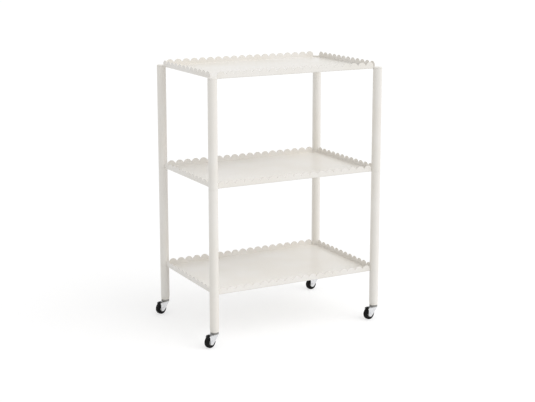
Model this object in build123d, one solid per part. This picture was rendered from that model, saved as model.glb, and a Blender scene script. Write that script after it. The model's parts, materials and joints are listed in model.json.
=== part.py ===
from build123d import *
from math import sqrt
import os

# Three-tier serving cart: folded steel trays with scalloped rims, tube legs in
# sections that clamp the tray corners between them, and four swivel casters.
# Millimetres, +Z up, origin on the floor midway between the four legs.
# The front is the -Y side and the left is the -X side.

# Overall height, to the top of the upper rim
overall_height = 878.5

# Trays
scallop_pitch = 30.0
long_scallop_count = 19
short_scallop_count = 12
valley_width = 2.0
lobe_rise = 9.5
rim_height = 22.0
corner_land = 16.0
sheet = 1.5
bend_radius = 1.5
seat_depth = 0.3
seat_clearance = 0.1
lowest_tray = 167.5

# Legs
leg_diameter = 30.0
leg_wall = 1.5
leg_edge = 0.3
plug_length = 18.0
stud_diameter = 8.0
stud_grip = 14.0
stud_clearance = 0.1
cap_height = 3.8
cap_edge = 0.6
collar_diameter = 28.0
collar_height = 8.0
insert_length = 32.0
insert_floor = 3.0

# Casters, with their headings in degrees about +Z from +X
wheel_diameter = 40.0
wheel_width = 15.0
tyre_depth = 10.0
tyre_shoulder = 3.5
trail = 21.0
heading_left = 200.5
heading_right = 190.5
hub_web = 13.0
hub_lip = 1.5
hub_boss_wall = 2.4
fork_sheet = 2.5
fork_bend = 2.0
arm_gap = 1.0
arm_root = 9.5
arm_end = 9.0
arm_front = 9.5
arm_corner = 4.0
crown_gap = 1.5
race_step = 1.5
race_gap = 0.8
ball_diameter = 4.0
ball_count = 10
ball_seat = 0.05
ball_play = 0.3
cup_diameter = 27.0
cup_wall = 1.2
cup_depth = 4.9
cup_edge = 1.5
skirt_drop = 1.2
side_play = 0.6
stem_diameter = 8.0
stem_length = 26.0
stem_head = 2.0
stem_head_overhang = 2.0
axle_diameter = 5.0
axle_head = 1.8
axle_head_overhang = 2.2
sleeve_wall = 1.0
running_clearance = 0.08
end_play = 0.3

# Sizes that follow from those above
leg_radius = leg_diameter / 2
leg_bore = leg_radius - leg_wall
leg_x = long_scallop_count * scallop_pitch + 2 * corner_land
leg_y = short_scallop_count * scallop_pitch + 2 * corner_land
fold = bend_radius + sheet
seat = sheet - seat_depth
lobe_half = (scallop_pitch - valley_width) / 2
lobe_base = rim_height - lobe_rise
valley_drop = lobe_rise * valley_width / (2 * lobe_half)
tray_gap = (overall_height - rim_height - lowest_tray) / 2
wheel_radius = wheel_diameter / 2
arm_inner = wheel_width / 2 + arm_gap
arm_outer = arm_inner + fork_sheet
stem_radius = stem_diameter / 2
cup_radius = cup_diameter / 2
race_radius = cup_radius - cup_wall - side_play
ball_circle = (race_radius + stem_radius + running_clearance) / 2
wheel_under_crown = sqrt(max(wheel_radius**2 - (trail - arm_outer) ** 2, 0))
crown_bottom = wheel_radius + wheel_under_crown + crown_gap
crown_top = crown_bottom + fork_sheet
race_top = crown_top + race_step
cup_bottom = race_top + race_gap
ball_level = race_top + race_gap / 2
cup_top = cup_bottom + cup_depth
leg_bottom = cup_top + collar_height
sleeve_radius = axle_diameter / 2 + sleeve_wall
hub_radius = wheel_radius - tyre_depth
hub_bore = sleeve_radius + running_clearance

tray_levels = {
    "lower": lowest_tray,
    "middle": lowest_tray + tray_gap,
    "top": lowest_tray + 2 * tray_gap,
}
leg_sections = {
    "lower": (leg_bottom, tray_levels["lower"]),
    "middle": (tray_levels["lower"] + seat, tray_levels["middle"]),
    "upper": (tray_levels["middle"] + seat, tray_levels["top"]),
}
corners = {
    "front_left": (-leg_x / 2, -leg_y / 2),
    "front_right": (leg_x / 2, -leg_y / 2),
    "back_left": (-leg_x / 2, leg_y / 2),
    "back_right": (leg_x / 2, leg_y / 2),
}

on_base = (Align.CENTER, Align.CENTER, Align.MIN)
across = Rot(90, 0, 0)


def disc(radius, low, high):
    return Pos(0, 0, low) * Cylinder(radius, high - low, align=on_base)


def ring(outer, inner, low, high):
    return disc(outer, low, high) - disc(inner, low, high)


def bar(radius, half_length):
    return across * Cylinder(radius, 2 * half_length)


# Rim of one tray side, on the -Y side of a tray that measures depth across
def rim(count, depth):
    half_run = (count * scallop_pitch - valley_width) / 2
    outline = [Line((-half_run, -sheet), (-half_run, lobe_base))]
    for index in range(count):
        middle = (index - (count - 1) / 2) * scallop_pitch
        left = middle - lobe_half
        right = middle + lobe_half
        outline.append(ThreePointArc((left, lobe_base), (middle, rim_height), (right, lobe_base)))
        if index < count - 1:
            lowest = (right + valley_width / 2, lobe_base - valley_drop)
            following = (right + valley_width, lobe_base)
            outline.append(ThreePointArc((right, lobe_base), lowest, following))
    outline.append(Line((half_run, lobe_base), (half_run, -sheet)))
    outline.append(Line((half_run, -sheet), (-half_run, -sheet)))
    scallops = across * extrude(make_face(outline), amount=fold, both=True)

    outer_mid = fold * (1 - sqrt(0.5))
    inner_mid = fold - bend_radius * sqrt(0.5)
    section = make_face(
        [
            ThreePointArc((fold, 0), (outer_mid, outer_mid), (0, fold)),
            Line((0, fold), (0, rim_height)),
            Line((0, rim_height), (sheet, rim_height)),
            Line((sheet, rim_height), (sheet, fold)),
            ThreePointArc((sheet, fold), (inner_mid, inner_mid), (fold, sheet)),
            Line((fold, sheet), (fold, 0)),
        ]
    )
    folded = extrude(Plane.YZ * section, amount=half_run, both=True)
    return Pos(0, -depth / 2, 0) * (folded & scallops)


# Tray: flat floor, four scalloped rims and a round ear at each corner, with a
# bored and slightly sunk seat for the leg section or cap that stands on it
def tray(level):
    floor = Box(leg_x - 2 * fold, leg_y - 2 * fold, sheet, align=on_base)
    long_rim = rim(long_scallop_count, leg_y)
    short_rim = rim(short_scallop_count, leg_x)
    body = floor + [Rot(0, 0, turn) * long_rim for turn in (0, 180)]
    body += [Rot(0, 0, turn) * short_rim for turn in (90, 270)]
    body += [Pos(x, y, 0) * disc(leg_radius, 0, sheet) for x, y in corners.values()]
    sunk = disc(leg_radius + seat_clearance, seat, sheet)
    sunk += disc(stud_diameter / 2 + stud_clearance, 0, seat)
    body -= [Pos(x, y, 0) * sunk for x, y in corners.values()]
    return Pos(0, 0, level) * body


# Leg section: round tube with both ends eased
def leg_tube(low, high):
    tube = ring(leg_radius, leg_bore, low, high)
    rims = tube.edges().filter_by(GeomType.CIRCLE).filter_by(lambda edge: edge.radius > leg_bore)
    return chamfer(rims, leg_edge)


# Threaded plug, pressed into a tube end
def plug(low):
    return ring(leg_bore, stud_diameter / 2 + stud_clearance, low, low + plug_length)


# Cap screw on top of a leg, as wide as the tube
def cap_screw(level):
    head = disc(leg_radius, level + seat, level + seat + cap_height)
    head = fillet(head.edges().group_by(Axis.Z)[-1], cap_edge)
    return head + disc(stud_diameter / 2, level - stud_grip, level + seat)


# Moulded insert in the foot of a leg, with its collar showing below the tube
def foot_insert():
    body = disc(leg_bore, leg_bottom, leg_bottom + insert_length)
    collar = disc(collar_diameter / 2, cup_top, leg_bottom)
    socket = disc(stem_radius, cup_top, leg_bottom + insert_length - insert_floor)
    return body + collar - socket


# Caster pieces, with the swivel axis on Z and the wheel trailing along +X
def caster_stem():
    pin = disc(stem_radius, crown_bottom - end_play, cup_top + stem_length)
    head_top = crown_bottom - end_play
    head = disc(stem_radius + stem_head_overhang, head_top - stem_head, head_top)
    return pin + head


def ball_groove(clearance):
    return Pos(0, 0, ball_level) * Torus(ball_circle, ball_diameter / 2 + clearance)


def caster_cup():
    body = disc(cup_radius, cup_bottom, cup_top)
    body = fillet(body.edges().group_by(Axis.Z)[-1], cup_edge)
    body += ring(cup_radius, cup_radius - cup_wall, race_top - skirt_drop, cup_bottom)
    body -= disc(stem_radius, cup_bottom, cup_top)
    return body - ball_groove(ball_seat)


def caster_balls():
    balls = []
    for index in range(ball_count):
        turn = Rot(0, 0, 360 * index / ball_count)
        balls.append(turn * Pos(ball_circle, 0, ball_level) * Sphere(ball_diameter / 2))
    return Compound(children=balls)


# Folded fork: a crown under the swivel and two broad arms beside the wheel
def caster_fork():
    reach = trail + arm_front
    channel = Box(2 * reach, 2 * arm_outer, crown_top, align=on_base)
    channel = fillet(channel.edges().filter_by(Axis.X).group_by(Axis.Z)[-1], fork_bend)
    channel -= Box(2 * reach, 2 * arm_inner, crown_bottom, align=on_base)
    channel -= Pos(arm_root + reach, 0, 0) * Box(2 * reach, 2 * arm_inner, crown_top, align=on_base)
    root = Line((-arm_root, crown_top), (arm_root, crown_top))
    front = Pos(reach - arm_corner, crown_top - arm_corner) * Edge.make_circle(arm_corner)
    end = Pos(trail, wheel_radius) * Edge.make_circle(arm_end)
    side = across * extrude(make_hull([root, front, end]), amount=arm_outer, both=True)
    body = channel & side
    body += disc(arm_outer, crown_bottom, crown_top)
    body += disc(race_radius, crown_top, race_top)
    body -= disc(stem_radius + running_clearance, crown_bottom, race_top)
    body -= Pos(trail, 0, wheel_radius) * bar(axle_diameter / 2, arm_outer)
    return body - ball_groove(ball_play)


def caster_axle():
    body = bar(axle_diameter / 2, arm_outer)
    head = Cylinder(axle_diameter / 2 + axle_head_overhang, axle_head, align=on_base)
    head = fillet(head.edges().group_by(Axis.Z)[-1], axle_head / 2)
    for turn in (90, -90):
        body += Rot(turn, 0, 0) * Pos(0, 0, arm_outer) * head
    return Pos(trail, 0, wheel_radius) * body


def caster_sleeve():
    body = bar(sleeve_radius, arm_inner) - bar(axle_diameter / 2, arm_inner)
    return Pos(trail, 0, wheel_radius) * body


def caster_hub():
    boss_radius = sleeve_radius + running_clearance + hub_boss_wall
    body = bar(hub_radius, wheel_width / 2)
    recess = Cylinder(hub_radius - hub_lip, (wheel_width - hub_web) / 2, align=on_base)
    for turn in (90, -90):
        body -= Rot(turn, 0, 0) * Pos(0, 0, hub_web / 2) * recess
    body += bar(boss_radius, arm_inner - end_play)
    body -= bar(hub_bore, arm_inner)
    return Pos(trail, 0, wheel_radius) * body


def caster_tyre():
    body = bar(wheel_radius, wheel_width / 2)
    body = fillet(body.edges().filter_by(GeomType.CIRCLE), tyre_shoulder)
    body -= bar(hub_radius, wheel_width / 2)
    return Pos(trail, 0, wheel_radius) * body


caster_pieces = {
    "stem": caster_stem(),
    "cup": caster_cup(),
    "balls": caster_balls(),
    "fork": caster_fork(),
    "axle": caster_axle(),
    "sleeve": caster_sleeve(),
    "hub": caster_hub(),
    "tyre": caster_tyre(),
}

nodes = {}
for name, level in tray_levels.items():
    nodes[f"tray_{name}"] = tray(level)

for corner, (x, y) in corners.items():
    for section, (low, high) in leg_sections.items():
        nodes[f"leg_{section}_{corner}"] = Pos(x, y, 0) * leg_tube(low, high)
    nodes[f"foot_insert_{corner}"] = Pos(x, y, 0) * foot_insert()
    heading = heading_left if x < 0 else heading_right
    for piece, solid in caster_pieces.items():
        nodes[f"caster_{piece}_{corner}"] = Pos(x, y, 0) * Rot(0, 0, heading) * solid

# Plugs in the tube ends, and the studs and caps that clamp the tray corners
for name, level in tray_levels.items():
    plug_starts = [level - plug_length]
    if name != "top":
        plug_starts.append(level + seat)
    plugs = [Pos(x, y, 0) * plug(low) for x, y in corners.values() for low in plug_starts]
    nodes[f"leg_plugs_{name}"] = Compound(children=plugs)
    if name == "top":
        caps = [Pos(x, y, 0) * cap_screw(level) for x, y in corners.values()]
        nodes["leg_caps"] = Compound(children=caps)
    else:
        stud = disc(stud_diameter / 2, level - stud_grip, level + seat + stud_grip)
        studs = [Pos(x, y, 0) * stud for x, y in corners.values()]
        nodes[f"leg_studs_{name}"] = Compound(children=studs)

os.makedirs("parts", exist_ok=True)
for name, solid in nodes.items():
    export_step(solid, f"parts/{name}.step")
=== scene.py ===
import json
import math

import bpy
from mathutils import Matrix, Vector

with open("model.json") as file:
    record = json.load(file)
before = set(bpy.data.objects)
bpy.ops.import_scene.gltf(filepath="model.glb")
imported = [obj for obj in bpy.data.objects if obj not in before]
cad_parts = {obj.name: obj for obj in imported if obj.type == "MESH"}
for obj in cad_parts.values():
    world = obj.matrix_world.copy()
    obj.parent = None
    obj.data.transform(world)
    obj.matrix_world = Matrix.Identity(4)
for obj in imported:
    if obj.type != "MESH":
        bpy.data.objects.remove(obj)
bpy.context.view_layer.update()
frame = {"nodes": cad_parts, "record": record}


# sRGB hex code to the linear colour that a socket takes
def linearColour(hexCode):
    channels = [int(hexCode[i:i + 2], 16) / 255 for i in (1, 3, 5)]
    return tuple(c / 12.92 if c <= 0.04045 else ((c + 0.055) / 1.055) ** 2.4 for c in channels) + (1.0,)


# adds one node: settings go on the node or its input sockets, links come from (node, output) pairs
def addNode(tree, kind, settings=None, links=None):
    node = tree.nodes.new(kind)
    for name, value in (settings or {}).items():
        if name in node.inputs:
            node.inputs[name].default_value = value
        else:
            setattr(node, name, value)
    for name, (source, output) in (links or {}).items():
        tree.links.new(source.outputs[output], node.inputs[name])
    return node


def metres(millimetres):
    return millimetres / 1000.0


def perMetre(millimetres):
    return 1000.0 / millimetres  # texture scale for a feature of that size


def emptyMaterial(name):
    material = bpy.data.materials.new(name)
    material.use_nodes = True
    material.node_tree.nodes.clear()
    return material, material.node_tree


# Satin powder coat, sprayed on steel sheet and tube and baked: a warm off-white
# with a soft sheen, the faint ripple of flowed powder and edges eased by the film
coat = {
    "name": "satinPowderCoat",
    "colours": ("#ede9e2", "#f0ede8"),
    "tintRange": (0.35, 0.65),  # stretch of the noise over which one colour turns into the other
    "patchMm": 120.0,
    "patchDetail": 2.0,
    "rippleMm": 2.0,            # real orange peel is nearer 1 mm, coarser so that it shows
    "rippleDetail": 3.0,
    "rippleDepthMm": 0.2,
    "relief": 0.14,
    "roughness": (0.28, 0.36),
    "edgeMm": 0.5,
    "edgeSamples": 4,
    "ior": 1.5,
}


def powderCoat():
    material, tree = emptyMaterial(coat["name"])
    place = addNode(tree, "ShaderNodeTexCoord")
    patch = addNode(tree, "ShaderNodeTexNoise",
                    {"Scale": perMetre(coat["patchMm"]), "Detail": coat["patchDetail"]},
                    {"Vector": (place, "Object")})
    tint = addNode(tree, "ShaderNodeValToRGB", None, {"Fac": (patch, "Fac")})
    for stop, colour, position in zip(tint.color_ramp.elements, coat["colours"], coat["tintRange"]):
        stop.position = position
        stop.color = linearColour(colour)
    ripple = addNode(tree, "ShaderNodeTexNoise",
                     {"Scale": perMetre(coat["rippleMm"]), "Detail": coat["rippleDetail"]},
                     {"Vector": (place, "Object")})
    low, high = coat["roughness"]
    sheen = addNode(tree, "ShaderNodeMapRange", {"To Min": low, "To Max": high}, {"Value": (ripple, "Fac")})
    eased = addNode(tree, "ShaderNodeBevel",
                    {"samples": coat["edgeSamples"], "Radius": metres(coat["edgeMm"])})
    relief = addNode(tree, "ShaderNodeBump",
                     {"Strength": coat["relief"], "Distance": metres(coat["rippleDepthMm"])},
                     {"Height": (ripple, "Fac"), "Normal": (eased, "Normal")})
    shader = addNode(tree, "ShaderNodeBsdfPrincipled", {"IOR": coat["ior"]},
                     {"Base Color": (tint, "Color"), "Roughness": (sheen, "Result"),
                      "Normal": (relief, "Normal")})
    addNode(tree, "ShaderNodeOutputMaterial", None, {"Surface": (shader, "BSDF")})
    return material


# Moulded nylon in the leg feet: off-white and matte, slightly uneven from the mould's texture
footNylon = {
    "name": "mouldedWhiteNylon",
    "colours": ("#eae6de", "#f1eee7"),
    "tintRange": (0.0, 1.0),
    "roughness": (0.42, 0.55),
    "grainMm": 1.5,
    "grainDetail": 4.0,
    "grainDepthMm": 0.1,
    "relief": 0.1,
    "shader": {"IOR": 1.53},
}

# Moulded nylon in the wheel hubs: light grey, a little smoother than the feet
hubNylon = {
    "name": "mouldedLightGreyNylon",
    "colours": ("#dddcd8", "#e8e7e3"),
    "tintRange": (0.0, 1.0),
    "roughness": (0.38, 0.52),
    "grainMm": 1.5,
    "grainDetail": 4.0,
    "grainDepthMm": 0.1,
    "relief": 0.1,
    "shader": {"IOR": 1.53},
}

# Moulded black rubber: near black and dull, a shade greyer where floor dust clings
tyreRubber = {
    "name": "mouldedBlackRubber",
    "colours": ("#060606", "#101010"),
    "tintRange": (0.4, 0.75),
    "roughness": (0.75, 0.9),
    "grainMm": 5.0,
    "grainDetail": 5.0,
    "grainDepthMm": 0.1,
    "relief": 0.15,
    "shader": {"IOR": 1.52, "Specular IOR Level": 0.25},
}

# Bright zinc plate on pressed steel: silvery, with the slight clouding of the bath
brightZinc = {
    "name": "brightZincPlate",
    "colours": ("#d6d7d9", "#ebecee"),
    "tintRange": (0.0, 1.0),
    "roughness": (0.2, 0.36),
    "grainMm": 4.0,
    "grainDetail": 4.0,
    "grainDepthMm": 0.1,
    "relief": 0.08,
    "shader": {"Metallic": 1.0},
}

# Swivel cups: a darker, duller grey metal than the forks, a soft mid grey that sets them off from the legs
cupGreyMetal = {
    "name": "darkGreyCupMetal",
    "colours": ("#8b8a86", "#a09f9b"),
    "tintRange": (0.0, 1.0),
    "roughness": (0.38, 0.5),
    "grainMm": 3.0,
    "grainDetail": 4.0,
    "grainDepthMm": 0.1,
    "relief": 0.08,
    "shader": {"Metallic": 1.0},
}

# Plain turned steel of plugs, balls and sleeves: greyer, with a fine mottle from oil and handling
turnedSteel = {
    "name": "plainTurnedSteel",
    "colours": ("#8d8e90", "#a5a6a8"),
    "tintRange": (0.0, 1.0),
    "roughness": (0.3, 0.45),
    "grainMm": 1.0,
    "grainDetail": 4.0,
    "grainDepthMm": 0.1,
    "relief": 0.08,
    "shader": {"Metallic": 1.0},
}


# one noise drives the tint, the sheen and the slight relief of a moulded, plated or turned finish
def grainedFinish(finish):
    material, tree = emptyMaterial(finish["name"])
    place = addNode(tree, "ShaderNodeTexCoord")
    grain = addNode(tree, "ShaderNodeTexNoise",
                    {"Scale": perMetre(finish["grainMm"]), "Detail": finish["grainDetail"]},
                    {"Vector": (place, "Object")})
    tint = addNode(tree, "ShaderNodeValToRGB", None, {"Fac": (grain, "Fac")})
    for stop, colour, position in zip(tint.color_ramp.elements, finish["colours"], finish["tintRange"]):
        stop.position = position
        stop.color = linearColour(colour)
    low, high = finish["roughness"]
    sheen = addNode(tree, "ShaderNodeMapRange", {"To Min": low, "To Max": high}, {"Value": (grain, "Fac")})
    relief = addNode(tree, "ShaderNodeBump",
                     {"Strength": finish["relief"], "Distance": metres(finish["grainDepthMm"])},
                     {"Height": (grain, "Fac")})
    shader = addNode(tree, "ShaderNodeBsdfPrincipled", finish["shader"],
                     {"Base Color": (tint, "Color"), "Roughness": (sheen, "Result"),
                      "Normal": (relief, "Normal")})
    addNode(tree, "ShaderNodeOutputMaterial", None, {"Surface": (shader, "BSDF")})
    return material


finishes = {
    "powder_coat": powderCoat(),
    "off_white_nylon": grainedFinish(footNylon),
    "light_grey_nylon": grainedFinish(hubNylon),
    "black_rubber": grainedFinish(tyreRubber),
    "zinc_plated_steel": grainedFinish(brightZinc),
    "dull_zinc_steel": grainedFinish(cupGreyMetal),
    "plain_steel": grainedFinish(turnedSteel),
}
for entry in frame["record"]["subparts"]:
    piece = frame["nodes"][entry["node"]]
    for slot in piece.material_slots:
        slot.material = finishes[entry["material_slot"]]


# Studio: seamless pale floor that keeps the shadow and reads white around it
studio = {
    "white": "#ffffff",
    "floorSize": 120.0,
    "floorTone": "#efefef",
    "shadowShare": 0.5,   # how much of the floor's white comes from the light that falls on it
    "glow": 0.575,
    "ambient": 0.69,
    "keyStrength": 1.19,
    "keySpread": 60.0,    # degrees, as wide as a large softbox close by
    "keyFrom": (2.3, -2.7, 3.1),
}


# 1 for rays that show the surroundings: seen by the camera, mirrored or through glass
def cameraSees(tree):
    path = addNode(tree, "ShaderNodeLightPath")
    seen = addNode(tree, "ShaderNodeMath", {"operation": "MAXIMUM"},
                   {0: (path, "Is Camera Ray"), 1: (path, "Is Glossy Ray")})
    return addNode(tree, "ShaderNodeMath", {"operation": "MAXIMUM"},
                   {0: (seen, "Value"), 1: (path, "Is Transmission Ray")})


def studioFloor():
    half = studio["floorSize"] / 2
    mesh = bpy.data.meshes.new("studioFloor")
    corners = [(-half, -half, 0), (half, -half, 0), (half, half, 0), (-half, half, 0)]
    mesh.from_pydata(corners, [], [(0, 1, 2, 3)])
    floor = bpy.data.objects.new("studioFloor", mesh)
    bpy.context.scene.collection.objects.link(floor)
    material, tree = emptyMaterial("paintedStudioFloor")
    seen = cameraSees(tree)
    plain = addNode(tree, "ShaderNodeBsdfDiffuse", {"Color": linearColour(studio["floorTone"])})
    share = studio["shadowShare"]
    lit = addNode(tree, "ShaderNodeBsdfDiffuse", {"Color": (share, share, share, 1)})
    glow = addNode(tree, "ShaderNodeEmission", {"Strength": studio["glow"]})
    white = addNode(tree, "ShaderNodeAddShader", None, {0: (lit, "BSDF"), 1: (glow, "Emission")})
    both = addNode(tree, "ShaderNodeMixShader", None,
                   {"Fac": (seen, "Value"), 1: (plain, "BSDF"), 2: (white, "Shader")})
    addNode(tree, "ShaderNodeOutputMaterial", None, {"Surface": (both, "Shader")})
    mesh.materials.append(material)


def studioWorld():
    world = bpy.data.worlds.new("studioWorld")
    bpy.context.scene.world = world
    world.use_nodes = True
    tree = world.node_tree
    tree.nodes.clear()
    seen = cameraSees(tree)
    tone = linearColour(studio["white"])
    ambient = addNode(tree, "ShaderNodeBackground", {"Color": tone, "Strength": studio["ambient"]})
    white = addNode(tree, "ShaderNodeBackground", {"Color": tone, "Strength": 1.0})
    both = addNode(tree, "ShaderNodeMixShader", None,
                   {"Fac": (seen, "Value"), 1: (ambient, "Background"), 2: (white, "Background")})
    addNode(tree, "ShaderNodeOutputWorld", None, {"Surface": (both, "Shader")})


def keyLight():
    lamp = bpy.data.lights.new("keySoftbox", "SUN")
    lamp.energy = studio["keyStrength"]
    lamp.angle = math.radians(studio["keySpread"])
    light = bpy.data.objects.new("keySoftbox", lamp)
    bpy.context.scene.collection.objects.link(light)
    light.visible_glossy = False  # its mirror image would burn out the tray floors seen from behind
    light.location = studio["keyFrom"]
    light.rotation_euler = Vector(studio["keyFrom"]).to_track_quat("Z", "Y").to_euler()


studioFloor()
studioWorld()
keyLight()
print("studio ready")


# Camera fitted to the photograph's tray edges, legs and wheels, with most of the
# photograph's lens shift given to the pitch so that other views stay in frame
shot = {
    "place": (-1.9014, -3.5397, 1.3310),
    "yaw": 28.189,
    "pitch": 11.503,
    "focalPixels": 1218.4,
    "imageWidth": 535,
    "sensorWidth": 36.0,
    "shiftY": -0.06,
    "clipEnd": 300.0,     # past the far edge of the floor
}


def photoCamera():
    data = bpy.data.cameras.new("photoCamera")
    data.sensor_width = shot["sensorWidth"]
    data.lens = shot["focalPixels"] / shot["imageWidth"] * data.sensor_width
    data.shift_y = shot["shiftY"]
    data.clip_end = shot["clipEnd"]
    camera = bpy.data.objects.new("photoCamera", data)
    bpy.context.scene.collection.objects.link(camera)
    camera.location = shot["place"]
    camera.rotation_euler = (math.radians(90 - shot["pitch"]), 0, math.radians(-shot["yaw"]))
    bpy.context.scene.camera = camera


photoCamera()
bpy.context.scene.view_settings.view_transform = "Standard"
print("camera set")
